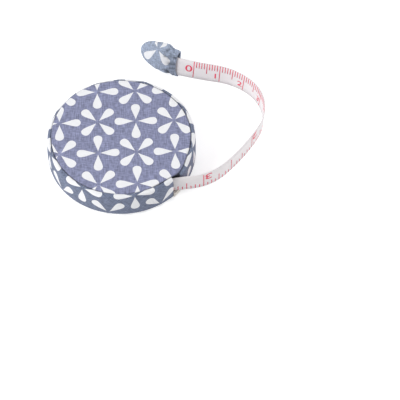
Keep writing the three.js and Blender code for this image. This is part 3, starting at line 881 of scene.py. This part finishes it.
class TAPEMEASURE_OT_bottom_panel(bpy.types.Operator):
    """Round cloth panel under the case"""

    bl_idname = "tapemeasure.bottom_panel"
    bl_label = "Bottom Panel"

    def execute(self, context):
        cover = context.scene.tape_cover
        radius = cover.base_radius
        top = cover.cloth
        edge = top / 2
        rim = 0.6 * MM
        flat_radius = radius - rim
        profile = [(0, 0), (radius * 0.5, 0), (flat_radius, 0)]
        profile += round_corner((radius - edge, edge), edge, start=-90, end=90, steps=6)
        profile += [(flat_radius, top), (radius * 0.5, top), (0, top)]
        maker = spun(profile, steps=180, start=0, sweep=TURN)
        # The base takes the darker ground that carries painted shade.
        material = cloth_material("Base Cotton", cover, cover.side_ground_with_painted_shade, source="Object",
                                  turn=math.radians(9), centre=(2 * MM, -3 * MM))
        panel = new_piece("bottom_panel", maker, material, "case")
        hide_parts("bottom_cloth")
        return {"FINISHED"}


class TAPEMEASURE_OT_drawn_tape(bpy.types.Operator):
    """Coated tape from inside the slot to inside the tab, and the hidden feed behind it"""

    bl_idname = "tapemeasure.drawn_tape"
    bl_label = "Drawn Tape"

    def execute(self, context):
        tape = context.scene.tape_band
        material = coated_tape("Coated Tape", tape)
        end = PATH_LENGTH + TAPE_IN_TAB
        strip = new_piece("tape_strip", ribbon(tape, FEED_LENGTH, end, step=1 * MM), material, "tape")
        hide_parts("drawn_tape")
        feed = new_piece("tape_feed", ribbon(tape, 0, FEED_LENGTH, step=0.5 * MM), material, None)
        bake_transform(feed)
        return {"FINISHED"}


class TAPEMEASURE_OT_scale_print(bpy.types.Operator):
    """Centimetre scale on the inner face and inch scale on the outer face"""

    bl_idname = "tapemeasure.scale_print"
    bl_label = "Scale Print"

    # Kinds of line, longest first: every how many lines one comes, and its length in mm
    centimetre_lines = ((10, 7.0), (5, 4.4), (1, 2.6))
    inch_lines = ((16, 7.0), (8, 6.2), (4, 3.6), (2, 2.3), (1, 1.8))
    lines_per_centimetre = 10
    lines_per_inch = 16
    inside = -1
    outside = 1

    # Middle of a number: its distance from its line and its height over the tape's middle
    zero_spot = (1.9 * MM, 0.1 * MM)
    centimetre_spot = (1.6 * MM, -1.2 * MM)
    inch_spot = (1.9 * MM, 1.7 * MM)

    def execute(self, context):
        tape = context.scene.tape_band
        material = printing_ink("Red Ink", tape)
        half = tape.width / 2
        margin = 0.05 * MM

        metric = bmesh.new()
        pitch = 10 * MM / self.lines_per_centimetre
        for count, place, reach in self.lines(tape, pitch, self.centimetre_lines):
            self.line(metric, tape, place, half - reach, half - margin, self.inside)
            if count == 0:
                spot = self.on_face(tape, place, self.zero_spot, self.inside)
                self.number(metric, tape, "0", tape.zero_digit, spot, self.inside)
            elif count % self.lines_per_centimetre == 0:
                spot = self.on_face(tape, place, self.centimetre_spot, self.inside)
                text = str(count // self.lines_per_centimetre)
                self.number(metric, tape, text, tape.small_digit, spot, self.inside)
        new_piece("centimetre_print", metric, material, "tape")

        imperial = bmesh.new()
        pitch = 25.4 * MM / self.lines_per_inch
        for count, place, reach in self.lines(tape, pitch, self.inch_lines):
            self.line(imperial, tape, place, margin - half, reach - half, self.outside)
            if count and count % self.lines_per_inch == 0:
                spot = self.on_face(tape, place, self.inch_spot, self.outside)
                text = str(count // self.lines_per_inch)
                self.number(imperial, tape, text, tape.inch_digit, spot, self.outside)
        new_piece("inch_print", imperial, material, "tape")
        return {"FINISHED"}

    def lines(self, tape, pitch, kinds):
        """Number, place along the tape and length of each line, from the zero back to the slot."""
        clear_of_feed = 1 * MM
        zero = PATH_LENGTH - tape.zero_before_tab
        start = FEED_LENGTH + clear_of_feed
        for count in range(int((zero - start) / pitch) + 1):
            reach = next(size for step, size in kinds if count % step == 0)
            yield count, zero - count * pitch, reach * MM

    def on_face(self, tape, place, spot, face):
        """Matrix of a spot beside a place on one face of the tape, where the ink is sunk in by a trace."""
        sunk = 0.9
        beside, height = spot
        shift = (0, height, face * (tape.thick + tape.ink_thick * sunk) / 2)
        return tape_frame(tape, place + beside) @ Matrix.Translation(shift)

    def line(self, maker, tape, place, low, high, face):
        """Thin bar of ink across the tape."""
        size = Matrix.Diagonal((tape.line, high - low, tape.ink_thick, 1))
        spot = self.on_face(tape, place, (0, (low + high) / 2), face)
        bmesh.ops.create_cube(maker, size=1, matrix=spot @ size)

    def number(self, maker, tape, text, size, spot, face):
        """Printed number at a spot on the tape; the numbers of the outer face stand on their heads."""
        font_size = 1.4
        widening = 1.55
        words = bpy.data.curves.new("number", "FONT")
        words.body = text
        words.size = size * font_size
        words.align_x = "CENTER"
        words.align_y = "CENTER"
        words.extrude = tape.ink_thick / 2
        words.offset = tape.bold / 2
        holder = bpy.data.objects.new("number", words)
        bpy.context.scene.collection.objects.link(holder)
        bpy.context.view_layer.update()
        mesh = bpy.data.meshes.new_from_object(holder.evaluated_get(bpy.context.evaluated_depsgraph_get()))
        turn = Matrix.Rotation(math.pi, 4, "Z" if face == self.outside else "Y")
        wide = Matrix.Diagonal((widening, 1, 1, 1))
        mesh.transform(spot @ turn @ wide)
        maker.from_mesh(mesh)
        bpy.data.objects.remove(holder)
        bpy.data.curves.remove(words)
        bpy.data.meshes.remove(mesh)


class TAPEMEASURE_OT_tab(bpy.types.Operator):
    """Padded cloth tab gathered over the tape's end"""

    bl_idname = "tapemeasure.tab"
    bl_label = "Tab"

    def execute(self, context):
        cover = context.scene.tape_cover
        tape = context.scene.tape_band
        tab = context.scene.tape_tab
        # The tab's ground is the cloth's blue-grey made lighter as painted light.
        material = cloth_material("Tab Cotton", cover, tab.ground, source="UV", turn=0, centre=(0, 0),
                                  flowers_shown="Single")
        maker = self.pouch(tab)
        maker.verts.index_update()
        mouth = [vert.index for vert in maker.verts if vert.is_boundary]
        piece = new_piece("cloth_tab", maker, material, None)
        self.fill(context, piece, tab, mouth)
        self.finish(piece, tape, tab)
        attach(piece, "tape")
        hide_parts("tab_cloth")
        maker = self.filling(tab)
        bmesh.ops.transform(maker, matrix=tape_frame(tape, PATH_LENGTH), verts=maker.verts)
        filling = new_piece("tab_filling", maker, fibre_felt("Tab Wadding", WADDING_WHITE), "tape")
        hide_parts("tab_wadding")
        self.declare_tape(tape, [piece, filling])
        return {"FINISHED"}

    def finish(self, piece, tape, tab):
        """Smooths and crinkles the cloth, paints shade into its wrinkle valleys, puts it on the tape's end
        and gives it its thickness.
        """
        maker = bmesh.new()
        maker.from_mesh(piece.data)
        inner = [vert for vert in maker.verts if not vert.is_boundary]
        bmesh.ops.smooth_vert(maker, verts=inner, factor=0.4,
                              use_axis_x=True, use_axis_y=True, use_axis_z=True)
        self.crinkle(maker, tab)
        self.clear_tape(maker, tape)
        self.paint_crease_shade(maker)
        bmesh.ops.transform(maker, matrix=tape_frame(tape, PATH_LENGTH), verts=maker.verts)
        maker.to_mesh(piece.data)
        maker.free()
        smooth = piece.modifiers.new("Smooth", "SUBSURF")
        smooth.levels = 1
        smooth.render_levels = 1
        give_thickness(piece, tab.cloth, -1)

    def pouch(self, tab):
        """Leaf-shaped pouch, open at its mouth, in the tab's own frame."""
        maker = bmesh.new()
        bmesh.ops.create_grid(maker, x_segments=tab.steps, y_segments=tab.sides, size=0.5)
        layer = maker.loops.layers.uv.new("cloth")
        places = {vert: self.leaf(tab, vert.co.x + 0.5, (vert.co.y + 0.5) * TURN) for vert in maker.verts}
        for face in maker.faces:
            for loop in face.loops:
                loop[layer].uv = self.flat(tab, places[loop.vert])
        for vert, place in places.items():
            vert.co = place
        bmesh.ops.remove_doubles(maker, verts=maker.verts, dist=0.005 * MM)
        bmesh.ops.recalc_face_normals(maker, faces=maker.faces)
        return maker

    def leaf(self, tab, share, around):
        """Point of the pouch at a share of its length and an angle around it, with a scooped near mouth."""
        tip_power = 2.4
        flare_end = 0.16
        swell_end = 0.45
        corner_power = 0.65
        scoop_power = 1.5
        scoop_fade = 3
        tip = math.sqrt(max(1 - share ** tip_power, 0.0))
        flare = math.sin(math.pi / 2 * min(share / flare_end, 1.0))
        swell = math.sin(math.pi / 2 * min(share / swell_end, 1.0))
        half_height = (tab.mouth_height + (tab.height - tab.mouth_height) * flare) * tip / 2
        half_thick = (tab.mouth_thick + (tab.thick - tab.mouth_thick) * swell) * tip / 2
        upward = math.cos(around)
        outward = math.sin(around)
        up = half_height * math.copysign(abs(upward) ** corner_power, upward) + self.lift(tab, share)
        through = half_thick * math.copysign(abs(outward) ** corner_power, outward)
        scoop = tab.scoop * max(-outward, 0.0) ** scoop_power
        along = tab.length * share + scoop * (1 - share) ** scoop_fade
        if through < 0:
            through *= 1 - self.tuck(along, up)
        return Vector((along, up, through))

    def lift(self, tab, share):
        """Height of the tab's middle over the tape's middle."""
        return tab.mouth_lift + (tab.tip_lift - tab.mouth_lift) * share

    def filling(self, tab):
        """Wadding that fills the pouch beyond the end of the tape."""
        start = 0.44
        end = 0.97
        size = 0.72
        maker = bmesh.new()
        bmesh.ops.create_grid(maker, x_segments=16, y_segments=32, size=0.5)
        for vert in maker.verts:
            share = start + (end - start) * (vert.co.x + 0.5)
            place = self.leaf(tab, share, (vert.co.y + 0.5) * TURN)
            middle = Vector((place.x, self.lift(tab, share), 0))
            vert.co = middle + (place - middle) * size
        bmesh.ops.remove_doubles(maker, verts=maker.verts, dist=0.005 * MM)
        bmesh.ops.holes_fill(maker, edges=[edge for edge in maker.edges if edge.is_boundary])
        bmesh.ops.recalc_face_normals(maker, faces=maker.faces)
        return maker

    def tuck(self, along, height):
        """Depth, as a share of the near side's bulge, of the pleat at the lower edge by the mouth."""
        low = Vector((3.2 * MM, -4.0 * MM))
        high = Vector((4.1 * MM, -1.6 * MM))
        depth = 0.4
        width = 0.7 * MM
        place = Vector((along, height))
        line = high - low
        share = min(max((place - low).dot(line) / line.length_squared, 0.0), 1.0)
        away = (place - low - line * share).length
        return depth * math.exp(-((away / width) ** 2))

    def flat(self, tab, place):
        """Place on the flat cloth from the flower's middle; wrinkles take up cloth and close up the print."""
        middle = Vector((8.05 * MM, 6.4 * MM))
        return (place.x - middle.x) * tab.gather, (place.y - middle.y) * tab.fullness

    def fill(self, context, piece, tab, mouth):
        """Lets the slack cloth wrinkle over its wadding, at a size that the solver handles well."""
        solver_size = 25
        frames = 24
        most = 1.0 * MM
        start = [vert.co.copy() for vert in piece.data.vertices]
        piece.data.transform(Matrix.Scale(solver_size, 4))
        pins = piece.vertex_groups.new(name="mouth")
        pins.add(mouth, 1.0, "REPLACE")
        cloth = piece.modifiers.new("Fill", "CLOTH")
        cloth.settings.vertex_group_mass = pins.name
        cloth.settings.quality = 8
        cloth.settings.mass = 0.15
        cloth.settings.bending_stiffness = 0.05
        cloth.settings.shrink_min = -tab.slack
        cloth.settings.use_pressure = True
        cloth.settings.uniform_pressure_force = tab.pressure
        cloth.settings.effector_weights.gravity = 0
        for step in range(1, frames + 1):
            context.scene.frame_set(step)
        filled = piece.evaluated_get(context.evaluated_depsgraph_get()).to_mesh()
        ends = [vert.co / solver_size for vert in filled.vertices]
        piece.modifiers.remove(cloth)
        piece.vertex_groups.clear()
        context.scene.frame_set(1)
        for vert, before, after in zip(piece.data.vertices, start, ends):
            move = after - before
            vert.co = before + move * min(1.0, most / max(move.length, 1e-9))

    def crinkle(self, maker, tab):
        """Small dents and ridges where the cloth lies over lumps of wadding."""
        spacing = 1.6 * MM
        maker.normal_update()
        for vert in maker.verts:
            if not vert.is_boundary:
                vert.co += vert.normal * tab.crinkle * noise.noise(vert.co / spacing)

    def clear_tape(self, maker, tape):
        """Keeps the cloth outside the tape's end and its clip."""
        reach = TAPE_IN_TAB + 0.3 * MM
        limit = tape.width / 2 + 0.55 * MM
        most = 0.9 * MM
        squareness = 6
        for vert in maker.verts:
            if vert.co.x < reach and abs(vert.co.y) < limit:
                room = most * (1 - (abs(vert.co.y) / limit) ** squareness)
                vert.co.z = math.copysign(max(abs(vert.co.z), room), vert.co.z)

    def paint_crease_shade(self, maker):
        """Paints shade into the valleys between wrinkles and into the pleat by the mouth."""
        shallow = 0.01 * MM
        deep = 0.09 * MM
        valley_shade = 0.7
        pleat_shade = 2.2
        layer = maker.verts.layers.float.new("fold")
        maker.normal_update()
        for vert in maker.verts:
            around = [edge.other_vert(vert).co for edge in vert.link_edges]
            middle = sum(around, Vector()) / len(around)
            valley = ease(shallow, deep, (middle - vert.co).dot(vert.normal))
            pleat = self.tuck(vert.co.x, vert.co.y) if vert.co.z < 0 else 0.0
            vert[layer] = max(valley_shade * valley, pleat_shade * pleat)

    def declare_tape(self, tape, tab_pieces):
        """Works out stations along the tape outside the case and the tape's place at the slot's edge, and
        uses neither.
        """
        end = PATH_LENGTH + TAPE_IN_TAB
        slot_edge = 18 * MM
        stations = tape_stations(tape, FEED_LENGTH, end, step=4 * MM)
        tape_frame(tape, slot_edge).translation


class TAPEMEASURE_OT_springs(bpy.types.Operator):
    """Mainspring and return spring inside the case"""

    bl_idname = "tapemeasure.springs"
    bl_label = "Springs"

    def execute(self, context):
        springs = context.scene.tape_springs
        steel = drawn_steel("Spring Steel", STEEL_GREY)
        self.return_spring(springs, steel)
        self.mainspring(springs, steel)
        return {"FINISHED"}

    def return_spring(self, springs, steel):
        """Coil under the button, between the case and the button."""
        low = node_low("return_spring").z
        high = node_high("return_spring").z
        half = springs.wire / 2
        wire_sides = 8
        steps_per_coil = 24
        steps = steps_per_coil * springs.coils
        rise = high - low - springs.wire
        reach = node_high("return_spring").x - half
        start = Matrix.Translation((reach, 0, low + half)) @ Matrix.Rotation(math.pi / 2, 4, "X")
        maker = bmesh.new()
        bmesh.ops.create_circle(maker, segments=wire_sides, radius=half, matrix=start)
        bmesh.ops.spin(maker, geom=maker.verts[:] + maker.edges[:], cent=(0, 0, 0), axis=(0, 0, 1),
                       dvec=(0, 0, rise / steps), angle=TURN * springs.coils, steps=steps)
        bmesh.ops.holes_fill(maker, edges=[edge for edge in maker.edges if edge.is_boundary])
        bmesh.ops.recalc_face_normals(maker, faces=maker.faces)
        coil = new_piece("press_spring", maker, steel, None)
        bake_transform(coil)
        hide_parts("return_spring")

    def mainspring(self, springs, steel):
        """Turns that ride on the case, and a last half turn as a piece of its own, baked where it stands."""
        low = node_low("mainspring").z
        high = node_high("mainspring").z
        bend = springs.bend
        following = 0.5
        last = springs.turns - following
        start = (springs.inner - bend, bend)
        end = (springs.outer + bend, -bend)
        inner_line = [(springs.inner - bend - springs.hook, 0)]
        inner_line += round_corner(start, bend, start=-90, end=0, steps=4)
        inner_line += self.spiral(springs, bend / springs.inner / TURN, last)
        outer_line = self.spiral(springs, last, springs.turns - bend / springs.outer / TURN)
        outer_line += round_corner(end, bend, start=180, end=90, steps=4)
        outer_line.append((node_high("mainspring").x, 0))
        turns = new_piece("mainspring_turns", self.upright(inner_line, low, high), steel, "case")
        give_thickness(turns, springs.leaf, 0)
        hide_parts("mainspring")
        follower = new_piece("mainspring_end", self.upright(outer_line, low, high), steel, None)
        give_thickness(follower, springs.leaf, 0)
        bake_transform(follower)

    def spiral(self, springs, first, last):
        """Points of the spiral between two counts of turns."""
        steps_per_turn = 48
        steps = math.ceil((last - first) * steps_per_turn)
        points = []
        for step in range(steps + 1):
            count = first + (last - first) * step / steps
            reach = springs.inner + (springs.outer - springs.inner) * count / springs.turns
            points.append((reach * math.cos(TURN * count), reach * math.sin(TURN * count)))
        return points

    def upright(self, points, low, high):
        """Skin that stands on a line of (x, y) points."""
        maker = bmesh.new()
        line = [maker.verts.new((x, y, low)) for x, y in points]
        edges = [maker.edges.new(pair) for pair in zip(line, line[1:])]
        raised = bmesh.ops.extrude_edge_only(maker, edges=edges)["geom"]
        top = [part for part in raised if isinstance(part, bmesh.types.BMVert)]
        bmesh.ops.translate(maker, vec=(0, 0, high - low), verts=top)
        bmesh.ops.remove_doubles(maker, verts=maker.verts, dist=0.001 * MM)
        bmesh.ops.recalc_face_normals(maker, faces=maker.faces)
        return maker


class TAPEMEASURE_OT_hard_parts(bpy.types.Operator):
    """Finishes of the plastic, metal, board and wadding pieces"""

    bl_idname = "tapemeasure.hard_parts"
    bl_label = "Hard Parts"

    def execute(self, context):
        finishes = {
            "case_plastic": moulded_plastic("Cream Plastic", (0.78, 0.745, 0.68), roughness=0.45),
            "reel_plastic": moulded_plastic("Reel Plastic", (0.60, 0.58, 0.52), roughness=0.5),
            "steel": drawn_steel("Bright Steel", STEEL_GREY),
            "card": fibre_felt("Board", (0.27, 0.20, 0.13)),
            "wadding": fibre_felt("Wadding", WADDING_WHITE),
            "rubber": fibre_felt("Brake Rubber", (0.03, 0.028, 0.028)),
            "tape": moulded_plastic("Wound Tape", context.scene.tape_band.white, roughness=0.45),
        }
        slots = {part["node"]: part["material_slot"] for part in frame["record"]["subparts"]}
        for name, node in frame["nodes"].items():
            if slots[name] in finishes:
                node.data.materials.clear()
                node.data.materials.append(finishes[slots[name]])
        return {"FINISHED"}


class TAPEMEASURE_OT_stage(bpy.types.Operator):
    """Pale floor, soft studio light and the camera"""

    bl_idname = "tapemeasure.stage"
    bl_label = "Stage"

    def execute(self, context):
        stage = context.scene.tape_stage
        self.floor(stage)
        self.world(context, stage)
        self.lamp(context, stage, "key_light", stage.key_power, stage.key_place)
        self.lamp(context, stage, "fill_light", stage.key_power * stage.fill_share, stage.fill_place)
        self.camera(context, stage)
        context.scene.view_settings.view_transform = "Standard"
        return {"FINISHED"}

    def floor(self, stage):
        """Matt floor that keeps the shadow and is lifted to white where it is seen."""
        half_width = 3
        maker = bmesh.new()
        bmesh.ops.create_grid(maker, x_segments=1, y_segments=1, size=half_width)
        mesh = bpy.data.meshes.new("floor")
        maker.to_mesh(mesh)
        maker.free()
        material, sheet = new_material("Pale Floor")
        matt = sheet.add("ShaderNodeBsdfDiffuse", {"Color": rgba(stage.floor)})
        glow = sheet.math("MULTIPLY", sheet.shown(), stage.floor_glow)
        lift = sheet.add("ShaderNodeEmission", {"Color": (1, 1, 1, 1), "Strength": glow})
        both = sheet.add("ShaderNodeAddShader", {0: matt.outputs[0], 1: lift.outputs[0]})
        sheet.add("ShaderNodeOutputMaterial", {"Surface": both.outputs[0]})
        mesh.materials.append(material)
        floor = bpy.data.objects.new("floor", mesh)
        bpy.context.scene.collection.objects.link(floor)

    def world(self, context, stage):
        """Even light from all round, white where it is seen."""
        world = bpy.data.worlds.new("studio")
        world.use_nodes = True
        sheet = NodeSheet(world.node_tree)
        strength = sheet.math("MULTIPLY_ADD", sheet.shown(), 1 - stage.ambient, stage.ambient)
        back = sheet.add("ShaderNodeBackground", {"Color": (1, 1, 1, 1), "Strength": strength})
        sheet.add("ShaderNodeOutputWorld", {"Surface": back.outputs[0]})
        context.scene.world = world

    def lamp(self, context, stage, name, power, place):
        """Round soft light that faces the middle of the case's underside."""
        data = bpy.data.lights.new(name, "AREA")
        data.shape = "DISK"
        data.size = stage.lamp_size
        data.energy = power
        lamp = bpy.data.objects.new(name, data)
        lamp.location = place
        lamp.rotation_euler = Vector(place).to_track_quat("Z", "Y").to_euler()
        context.scene.collection.objects.link(lamp)

    def camera(self, context, stage):
        """Camera at its distance from the aim, looking at it."""
        data = bpy.data.cameras.new("camera")
        data.lens = stage.lens
        data.sensor_width = 36
        data.clip_start = 0.01
        camera = bpy.data.objects.new("camera", data)
        context.scene.collection.objects.link(camera)
        level = stage.distance * math.cos(stage.elevation)
        back = Vector((math.sin(stage.azimuth) * level, -math.cos(stage.azimuth) * level,
                       stage.distance * math.sin(stage.elevation)))
        camera.location = Vector(stage.aim) + back
        camera.rotation_euler = back.to_track_quat("Z", "Y").to_euler()
        context.scene.camera = camera


class TAPEMEASURE_PT_panel(bpy.types.Panel):
    """Sizes and colours of the tape measure, and its pieces"""

    bl_idname = "TAPEMEASURE_PT_panel"
    bl_label = "Tape Measure"
    bl_space_type = "VIEW_3D"
    bl_region_type = "UI"
    bl_category = "Tape Measure"

    def draw(self, context):
        for name, group in SETTINGS.items():
            box = self.layout.box()
            settings = getattr(context.scene, name)
            for setting in group.__annotations__:
                box.prop(settings, setting)
        for step in STEPS:
            self.layout.operator(step.bl_idname)


STEPS = (
    TAPEMEASURE_OT_stage,
    TAPEMEASURE_OT_top_panel,
    TAPEMEASURE_OT_side_band,
    TAPEMEASURE_OT_bottom_panel,
    TAPEMEASURE_OT_drawn_tape,
    TAPEMEASURE_OT_scale_print,
    TAPEMEASURE_OT_tab,
    TAPEMEASURE_OT_springs,
    TAPEMEASURE_OT_hard_parts,
)
SETTINGS = {
    "tape_cover": CoverSettings,
    "tape_band": TapeSettings,
    "tape_tab": TabSettings,
    "tape_springs": SpringSettings,
    "tape_stage": StageSettings,
}


def register():
    for group in SETTINGS.values():
        bpy.utils.register_class(group)
    for name, group in SETTINGS.items():
        setattr(bpy.types.Scene, name, PointerProperty(type=group))
    for step in STEPS:
        bpy.utils.register_class(step)
    bpy.utils.register_class(TAPEMEASURE_PT_panel)


def unregister():
    bpy.utils.unregister_class(TAPEMEASURE_PT_panel)
    for step in reversed(STEPS):
        bpy.utils.unregister_class(step)
    for name in SETTINGS:
        delattr(bpy.types.Scene, name)
    for group in reversed(SETTINGS.values()):
        bpy.utils.unregister_class(group)


def main():
    register()
    for step in STEPS:
        operator = getattr(bpy.ops.tapemeasure, step.bl_idname.split(".")[1])
        operator()


if __name__ == "__main__":
    main()
